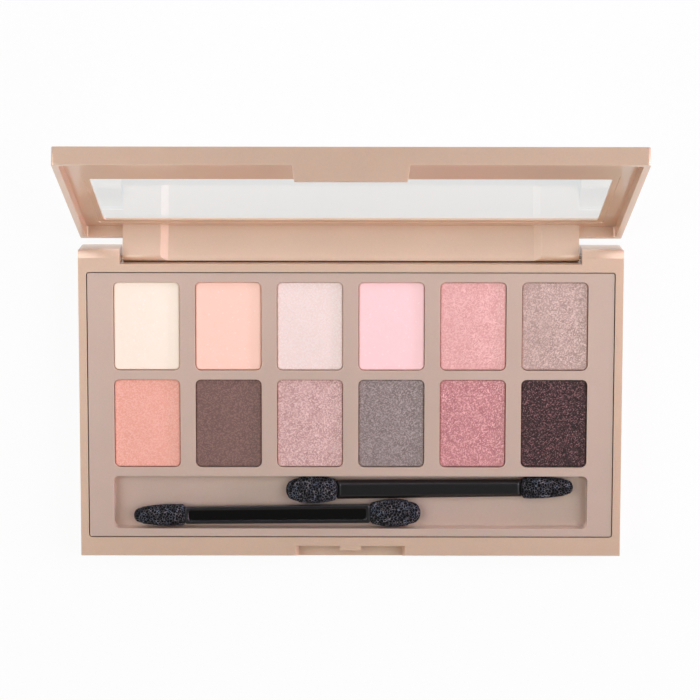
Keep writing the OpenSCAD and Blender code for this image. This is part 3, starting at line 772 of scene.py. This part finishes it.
def carried_round(profile, half_length, half_width, growth=0.0, per_corner=8):
    """Points, quads and two end caps of a profile of (inset, height, corner radius)
    carried round a rectangle. A ring is four quarter circles joined by straight sides,
    and its y is multiplied by 1 + growth x / (half_length half_width), so it is wider
    by about growth at the +X end and narrower by as much at the other."""
    inset, height, radius = (profile[:, i][:, None] for i in range(3))
    a, b = half_length - inset, half_width - inset
    r = np.minimum(radius, np.minimum(a, b))
    quarter = np.linspace(0, np.pi / 2, per_corner)
    angle = (quarter[None] + np.arange(4)[:, None] * np.pi / 2).reshape(1, -1)
    x = np.repeat([1, -1, -1, 1], per_corner)[None] * (a - r) + r * np.cos(angle)
    y = np.repeat([1, 1, -1, -1], per_corner)[None] * (b - r) + r * np.sin(angle)
    y = y * (1 + growth * x / half_length / half_width)
    points = np.stack([x, y, height + 0 * x], axis=-1)
    count, around = points.shape[:2]
    ring = np.arange(around)
    caps = np.stack([ring[::-1], ring + (count - 1) * around])
    return points.reshape(-1, 3), grid_quads(count, around, wrap=True), caps


# Half length, half width and growth of a bar, and its profile, in millimetres; the last
# value of a profile point is 1 on the polished floor of the panel
BAR = (HANDLE_END, 2.3, 0.1)
BAR_PROFILE = eased(
    [(1.9, -1.3, 0.3, 0), (0.9, -1.3, 0.3, 0), (0, -0.4, 0.4, 0), (0, 1.3, 0.6, 0),
     (0.85, 1.3, 0.8, 0), (0.95, 1.0, 0.7, 1), (1.9, 1.0, 0.3, 1)],
    cuts=[0.25, 0.2, 0.42, 0.18, 0.08])
STEM_PROFILE = eased([(0.6, -0.7, 0.3, 0), (0, -0.7, 0.3, 0), (0, 0.7, 0.3, 0), (0.6, 0.7, 0.3, 0)],
                     cuts=[0.15, 0.15])
# A stem reaches this far into its tip and this far into the bar; its half width
STEM_LENGTH, STEM_OVERLAP, STEM_HALF_WIDTH = 8.0, 0.4, 1.2
bar, bar_quads, bar_caps = carried_round(BAR_PROFILE, *BAR)
print("a handle's bar has", len(BAR_PROFILE), "rings and", len(bar_quads), "quads")

# %% Handles in their places
def joined(parts):
    """One array of points and one list of faces from several (points, quads, caps)."""
    faces, start = [], 0
    for points, quads, caps in parts:
        faces += (quads + start).tolist() + (caps + start).tolist()
        start += len(points)
    return np.concatenate([points for points, _, _ in parts]), faces


for end, (middle, turn) in LYING.items():
    parts = [(bar, bar_quads, bar_caps)]
    for side in (-1, 1):
        stem, *stem_faces = carried_round(STEM_PROFILE, (STEM_LENGTH + STEM_OVERLAP) / 2,
                                          STEM_HALF_WIDTH)
        stem[:, 0] += side * (HANDLE_END + (STEM_LENGTH - STEM_OVERLAP) / 2)
        parts.append((stem, *stem_faces))
    made, faces = joined(parts)
    polish = np.zeros(len(made))
    polish[:len(bar)] = np.repeat(BAR_PROFILE[:, 3], len(bar) // len(BAR_PROFILE))
    if end == "back":
        made[:, 1:] *= -1  # this one lies with its bevelled face up
    made = placed(made, middle, turn)
    handle = make_piece(f"{end}_bar", made, faces, handle_black, f"{end}_applicator", f"{end}_handle")
    handle.data.attributes.new("polish", "FLOAT", "POINT").data.foreach_set("value", polish)
    low, high = box_mm(f"{end}_handle")
    print(handle.name, "inside its space by", (made.min(0) - low).round(2), (high - made.max(0)).round(2))

# %% [markdown]
# ## Table, light and camera
#
# The palette stands on a plain white table. Two soft lamps high above its two ends give
# most of the light. A long low one at the back lights the edge of the lid, a weak warm
# one in front opens the shadows, and a slim pink one on the right makes the side walls
# glow. Straight overhead the room is dark, because that is what the black handles mirror
# towards the camera. The table shows as white to the camera, in reflections and through
# the window, and keeps a share of ordinary diffuse white so that the palette's shadow
# still falls on it. The camera looks almost straight down from three quarters of a metre
# through a long lens, which keeps the perspective mild.

# %% White table
def white_table(name, share=0.92):
    """Diffuse white, with a share of plain white light for camera and clear rays, and
    nothing but white light for glossy rays."""
    material, tree, output = new_material(name)
    paint = add(tree, "BsdfDiffuse", {"Color": linear("#f4f4f4")})
    glow = add(tree, "Emission", {"Strength": 1.0})
    ray = add(tree, "LightPath")
    seen = add(tree, "Math", {0: ray.outputs["Is Camera Ray"],
                              1: ray.outputs["Is Transmission Ray"]}, operation="MAXIMUM")
    seen = add(tree, "Math", {0: seen.outputs[0], 1: share}, operation="MULTIPLY")
    part = add(tree, "Math", {0: seen.outputs[0], 1: ray.outputs["Is Glossy Ray"]},
               operation="MAXIMUM")
    both = add(tree, "MixShader", {0: part.outputs[0], 1: paint.outputs[0], 2: glow.outputs[0]})
    tree.links.new(both.outputs[0], output.inputs["Surface"])
    return material


# Half the side of the table, in metres
REACH = 3
table_mesh = bpy.data.meshes.new("table")
table_mesh.from_pydata([(-REACH, -REACH, 0), (REACH, -REACH, 0), (REACH, REACH, 0), (-REACH, REACH, 0)],
                       [], [(0, 1, 2, 3)])
table_mesh.materials.append(white_table("White table"))
table = bpy.data.objects.new("table", table_mesh)
bpy.context.scene.collection.objects.link(table)
print("table is", 2 * REACH, "m wide")

# %% Studio walls
def studio_world(tree):
    """Walls that are brighter to the right and darker overhead, in front and at the back;
    plain white to camera and clear rays."""
    way = add(tree, "SeparateXYZ", {"Vector": add(tree, "TexCoord").outputs["Generated"]})
    right = add(tree, "MapRange", {"Value": way.outputs["X"], "From Min": -0.5, "From Max": 0.9,
                                   "To Min": 0.4, "To Max": 0.72})
    over = add(tree, "MapRange", {"Value": way.outputs["Z"], "From Min": 0.75, "From Max": 0.97,
                                  "To Min": 1.0, "To Max": 0.15})
    ends = add(tree, "Math", {0: way.outputs["Y"]}, operation="ABSOLUTE")
    ends = add(tree, "MapRange", {"Value": ends.outputs[0], "From Min": 0.2, "From Max": 0.9,
                                  "To Min": 1.0, "To Max": 0.4})
    level = add(tree, "Math", {0: right.outputs[0], 1: over.outputs[0]}, operation="MULTIPLY")
    level = add(tree, "Math", {0: level.outputs[0], 1: ends.outputs[0]}, operation="MULTIPLY")
    ray = add(tree, "LightPath")
    seen = add(tree, "Math", {0: ray.outputs["Is Camera Ray"], 1: ray.outputs["Is Transmission Ray"]},
               operation="MAXIMUM")
    both = add(tree, "MapRange", {"Value": seen.outputs[0], "To Min": level.outputs[0]})
    walls = add(tree, "Background", {"Color": linear("#ffffff"), "Strength": both.outputs[0]})
    add(tree, "OutputWorld", {"Surface": walls.outputs[0]})


world = bpy.data.worlds.new("Studio")
bpy.context.scene.world = world
world.use_nodes = True
world.node_tree.nodes.clear()
studio_world(world.node_tree)
print("studio walls:", len(world.node_tree.nodes), "nodes")

# %% Lamps
def soft_lamp(name, place, aim, size, watts, colour):
    """A rectangular area lamp at a place, pointed at another: a lamp shines along its own
    -Z, so it is pitched up from straight down, then turned about Z."""
    lamp = bpy.data.lights.new(name, "AREA")
    lamp.shape = "RECTANGLE"
    lamp.size, lamp.size_y = size
    lamp.energy = watts
    lamp.color = linear(colour)[:3]
    holder = bpy.data.objects.new(name, lamp)
    holder.location = place
    from_to = np.array(aim) - np.array(place)
    yaw = math.atan2(from_to[0], -from_to[1])
    pitch = math.acos(-from_to[2] / np.linalg.norm(from_to))
    holder.rotation_euler = (pitch, 0, yaw + math.pi)
    bpy.context.scene.collection.objects.link(holder)


soft_lamp("rear_right", (0.27, 0.07, 0.4), (0, 0, 0.02), (0.3, 0.3), 0.79, "#fbf6ff")
soft_lamp("rear_left", (-0.27, 0.07, 0.4), (0, 0, 0.02), (0.3, 0.3), 0.87, "#fbf6ff")
soft_lamp("rear", (0, 0.9, 0.33), (0, 0, 0.02), (1.0, 0.15), 1.3, "#eadcff")
soft_lamp("front", (-0.15, -0.8, 0.45), (0, 0, 0.02), (0.9, 0.4), 0.6, "#ffdcbc")
soft_lamp("side", (0.75, 0.0, 0.16), (0, 0, 0.01), (0.4, 0.08), 3.2, "#fbcdf0")
print("lamps:", len(bpy.data.lights))

# %% Camera
lens = bpy.data.cameras.new("camera")
lens.lens = 155.85
lens.sensor_width = 36.0
lens.clip_start, lens.clip_end = 0.01, 20.0
camera = bpy.data.objects.new("camera", lens)
camera.location = (0.0, 0.126356, 0.765570)
camera.rotation_euler = (math.radians(-8.488), math.radians(0.0246), math.radians(0.066))
bpy.context.scene.collection.objects.link(camera)
bpy.context.scene.camera = camera
bpy.context.scene.view_settings.view_transform = "Standard"
print("camera at", [round(v, 3) for v in camera.location])

# %% [markdown]
# ## Last step
#
# The view layer is updated once more, so that every piece stands in its place.

# %% Update the view layer
bpy.context.view_layer.update()
